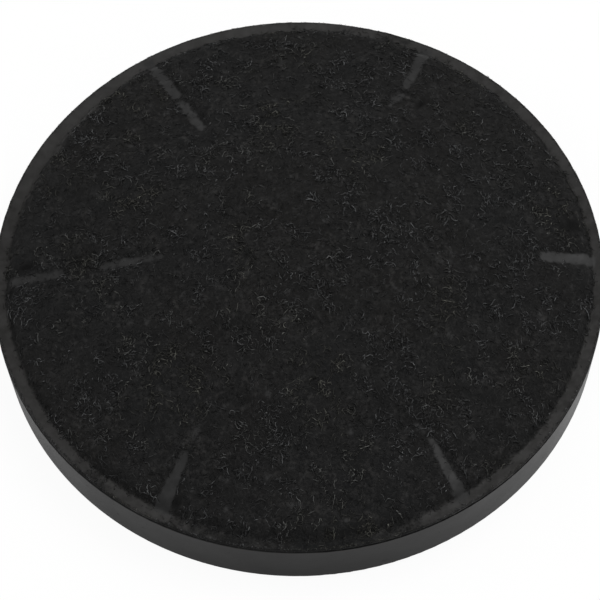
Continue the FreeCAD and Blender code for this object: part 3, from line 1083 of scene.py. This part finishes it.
    def build(self) -> Piece:
        """Bend and join the strands.

        Returns:
            The joined strands.
        """
        kind, chance = self.kind, self.chance
        x, y, lift = self.paths()
        keep = self.kept(x, y)
        x, y, lift = x[keep], y[keep], lift[keep]
        height = self.felt.top(x, y)
        if kind.zone is Zone.EDGE:
            over = smoothstep(np.hypot(x, y) - self.felt.edge_at(x, y), -0.4 * MM, 0.0)
            height -= over * chance.uniform(*self.hang, len(x))[:, None]
        centre = np.stack([x, y, height + lift], axis=-1)
        tangent = np.gradient(centre, axis=1)
        tangent /= np.linalg.norm(tangent, axis=2, keepdims=True)
        side = np.cross(tangent, np.array([0.0, 0.0, 1.0]))
        side /= np.maximum(np.linalg.norm(side, axis=2, keepdims=True), 1e-9)
        up = np.cross(side, tangent)
        template, faces = self.straight_strand()
        joint = np.rint(template[:, 2] * kind.joints).astype(int)
        thick = chance.uniform(*kind.thickness, len(x))[:, None, None] / 2
        taper = np.where((joint == 0) | (joint == kind.joints), self.tip, 1.0)[:, None]
        spread = side[:, joint] * template[:, 0:1] + up[:, joint] * template[:, 1:2]
        points = centre[:, joint] + spread * thick * taper
        coat = self._join(points, faces)
        low, high = kind.tone
        tone = low + (high - low) * chance.beta(1.0, kind.pale_share, len(x))
        carry(coat, "tone", np.repeat(tone, len(template)))
        self._unwrap(coat, len(x), template)
        return coat

    def _join(self, points: Array, faces: Array) -> Piece:
        """Make one mesh of all strands.

        Args:
            points: The points of each strand.
            faces: The faces of one strand.

        Returns:
            The mesh's object.
        """
        strands, size, _ = points.shape
        offsets = (np.arange(strands) * size)[:, None, None]
        mesh = bpy.data.meshes.new(self.kind.name)
        mesh.from_pydata(points.reshape(-1, 3), [], (faces + offsets).reshape(-1, 3))
        mesh.shade_smooth()
        mesh.validate()
        return new_object(self.kind.name, mesh)

    @staticmethod
    def _unwrap(coat: Piece, strands: int, template: Array) -> None:
        """Lay each strand out in a cell of its own on a square map.

        Args:
            coat: The joined strands.
            strands: Their number.
            template: The points of the straight strand.
        """
        row = math.ceil(math.sqrt(strands))
        turn = np.arctan2(template[:, 1], template[:, 0]) / (2 * math.pi) + 0.5
        layer = coat.data.uv_layers.new(name="OFBake")
        corner = np.empty(len(coat.data.loops), np.int64)
        coat.data.loops.foreach_get("vertex_index", corner)
        strand, local = corner // len(template), corner % len(template)
        u = (strand % row + 0.2 + 0.6 * turn[local]) / row
        v = (strand // row + 0.2 + 0.6 * template[local, 2]) / row
        layer.data.foreach_set("uv", np.stack([u, v], axis=1).ravel())


@dataclass
class RearLiners:
    """Thin felt sectors on the grille, between the webs.

    Args:
        side: Clear of a web's middle by this.
        steps: Divisions along each side.
        nap: The unevenness of their faces.
        wave: The length of that unevenness.
    """

    side: float = 1.2 * MM
    steps: int = 36
    nap: float = 0.08 * MM
    wave: float = 4 * MM

    def build(self, number: int) -> Piece:
        """Bend a grid into a sector and thicken it.

        Args:
            number: The sector's number, from 1.

        Returns:
            The felt sector.
        """
        low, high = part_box(f"rear_felt_{number}")
        inner, outer = self.radii(number)
        deselect()
        bpy.ops.mesh.primitive_grid_add(x_subdivisions=self.steps, y_subdivisions=self.steps,
                                        size=1, location=(0, 0, low.z))
        liner = bpy.context.object
        liner.name = liner.data.name = f"liner_sector_{number}"
        bpy.ops.object.transform_apply()
        points = points_of(liner)
        x, y, z = points.T
        radius = inner + (outer - inner) * (y + 0.5)
        half = SECTOR / 2 - np.arcsin(self.side / radius)
        turn = SECTOR * (number - 0.5) + 2 * x * half
        wave = Ripple(self.wave, 12, seed=30 + number)
        x[:] = radius * np.cos(turn)
        y[:] = radius * np.sin(turn)
        z += self.nap * 0.5 * (1 + np.tanh(wave(x, y)))
        move_points(liner, points)
        solid = liner.modifiers.new("thickness", "SOLIDIFY")
        solid.thickness = high.z - low.z - self.nap
        solid.offset = 1
        bpy.ops.object.modifier_apply(modifier=solid.name)
        with all_selected_for_edit():
            bpy.ops.mesh.normals_make_consistent(inside=False)
        bpy.ops.object.shade_smooth_by_angle(angle=math.radians(40))
        return liner

    @staticmethod
    def radii(number: int) -> tuple[float, float]:
        """Return a sector's inner and outer radius, read from its node.

        Args:
            number: The sector's number, from 1.

        Returns:
            The two radii.
        """
        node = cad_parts[f"rear_felt_{number}"]
        radius = np.hypot(*points_of(node)[:, :2].T)
        return float(radius.min()), float(radius.max())


@dataclass
class Studio:
    """Camera, lamps, floor and surroundings.

    Args:
        focal: The camera's focal length in pixels of the 600-pixel frame.
        distance: From the camera to the middle of the rear face.
        elevation: Of the camera above the floor, in degrees.
        azimuth: Of the camera from -Y, in degrees.
        roll: Turns the picture, in degrees.
        drift: The middle's place in the frame, off its centre, in pixels.
        frame_side: The frame's width in pixels.
        sensor: The sensor's width in millimetres.
        lamps: The square lamps, each by its name, place, size and power in watts.
        surround: The strength of the even light from all round.
        floor_side: The floor's size.
        floor_level: The floor's grey.
        floor_seen: How much of the floor's white glow the camera sees.
        floor_mirrored: How much of it glossy surfaces see.
    """

    focal: float = 2809.0
    distance: float = 891.9 * MM
    elevation: float = 60.72
    azimuth: float = -0.87
    roll: float = -1.76
    drift: tuple[float, float] = (-0.75, 5.3)
    frame_side: int = 600
    sensor: float = 36.0
    lamps: tuple = (("key", (0.45, 0.12, 1.22), 0.8, 10.2), ("fill", (-0.9, 0.1, 1.0), 0.9, 2.0))
    surround: float = 0.62
    floor_side: float = 6.0
    floor_level: float = 0.86
    floor_seen: float = 0.94
    floor_mirrored: float = 0.25

    def add_camera(self) -> None:
        """Place the camera where the photograph was taken from."""
        up_angle, turn = math.radians(self.elevation), math.radians(self.azimuth)
        back = Vector((math.sin(turn) * math.cos(up_angle), -math.cos(turn) * math.cos(up_angle),
                       math.sin(up_angle)))
        right = Vector((math.cos(turn), math.sin(turn), 0))
        up = back.cross(right)
        scale = self.distance / self.focal
        aim = -self.drift[0] * scale * right + self.drift[1] * scale * up
        eye = back * self.distance
        look = (eye - aim).normalized()
        right = (right - right.dot(look) * look).normalized()
        up = look.cross(right)
        basis = Matrix((right, up, look)).transposed().to_4x4()
        camera = bpy.data.cameras.new("camera")
        camera.sensor_width = self.sensor
        camera.lens = self.focal / self.frame_side * self.sensor
        camera.clip_end = 20
        holder = new_object("camera", camera)
        roll = Matrix.Rotation(math.radians(self.roll), 4, "Z")
        holder.matrix_world = Matrix.Translation(eye) @ basis @ roll
        bpy.context.scene.camera = holder

    def add_lamps(self) -> None:
        """Hang the lamps, each facing the filter."""
        for name, place, size, power in self.lamps:
            light = bpy.data.lights.new(name, "AREA")
            light.size, light.energy = size, power
            lamp = new_object(name, light)
            lamp.location = place
            lamp.rotation_euler = (-Vector(place)).to_track_quat("-Z", "Y").to_euler()

    def add_ground(self) -> None:
        """Add the pale floor, which shows white and keeps the filter's shadow."""
        deselect()
        bpy.ops.mesh.primitive_plane_add(size=self.floor_side, location=(0, 0, 0))
        floor = bpy.context.object
        floor.name = "floor"
        net = MaterialNet("pale_floor")
        light = net.add("ShaderNodeLightPath")
        white = net.add("ShaderNodeEmission", None, {"Color": grey(1.0), "Strength": 1.0})
        seen, glossy, through = (Shade(net, light.outputs[f"Is {kind} Ray"])
                                 for kind in ("Camera", "Glossy", "Transmission"))
        share = seen * self.floor_seen + (glossy + through) * self.floor_mirrored
        blend = net.add("ShaderNodeMixShader", None,
                        {0: share, 1: net.shader.outputs[0], 2: white.outputs[0]})
        net.surface(Base_Color=grey(self.floor_level), Roughness=0.9)
        output = next(node for node in net.tree.nodes if node.type == "OUTPUT_MATERIAL")
        net.plug(output.inputs["Surface"], blend.outputs[0])
        dress(floor, net.material)

    def add_surroundings(self) -> None:
        """Light the scene evenly from all round."""
        world = bpy.data.worlds.new("surroundings")
        world.use_nodes = True
        back = world.node_tree.nodes["Background"]
        back.inputs["Color"].default_value = grey(1.0)
        back.inputs["Strength"].default_value = self.surround
        bpy.context.scene.world = world
        bpy.context.scene.view_settings.view_transform = "Standard"

    def build(self) -> None:
        """Set up everything round the filter."""
        self.add_camera()
        self.add_ground()
        self.add_surroundings()
        self.add_lamps()


def dress_nodes() -> None:
    """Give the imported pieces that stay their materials."""
    dress(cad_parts["housing"], MouldedPlastic().material())
    granules = CarbonGranules().material()
    for number in range(1, WEBS + 1):
        dress(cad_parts[f"carbon_bed_{number}"], granules)


def add_felt() -> None:
    """Build the felt face with its fibres, as a sheet held stretched over the webs."""
    felt = FeltDisc()
    disc = felt.build()
    dress(disc, NeedledFelt().material())
    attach(disc, BODY)
    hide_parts("front_felt")
    fibre = StrandFibre().material()
    for number, kind in enumerate(STRANDS):
        chance = np.random.default_rng(FIRST_STRAND_SEED + number)
        piece = FibreCoat(felt, kind, chance).build()
        dress(piece, fibre)
        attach(piece, BODY)


def add_liners() -> None:
    """Build the felt sectors behind the grille."""
    liners = RearLiners()
    felt = LinerFelt().material()
    for number in range(1, WEBS + 1):
        piece = liners.build(number)
        dress(piece, felt)
        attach(piece, BODY)
        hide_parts(f"rear_felt_{number}")
        inner, outer = liners.radii(number)


def main() -> None:
    """Build the filter's looks."""
    logging.basicConfig(level=logging.INFO, format="%(name)s: %(message)s")
    Studio().build()
    dress_nodes()
    add_liners()
    add_felt()


if __name__ == "__main__":
    main()
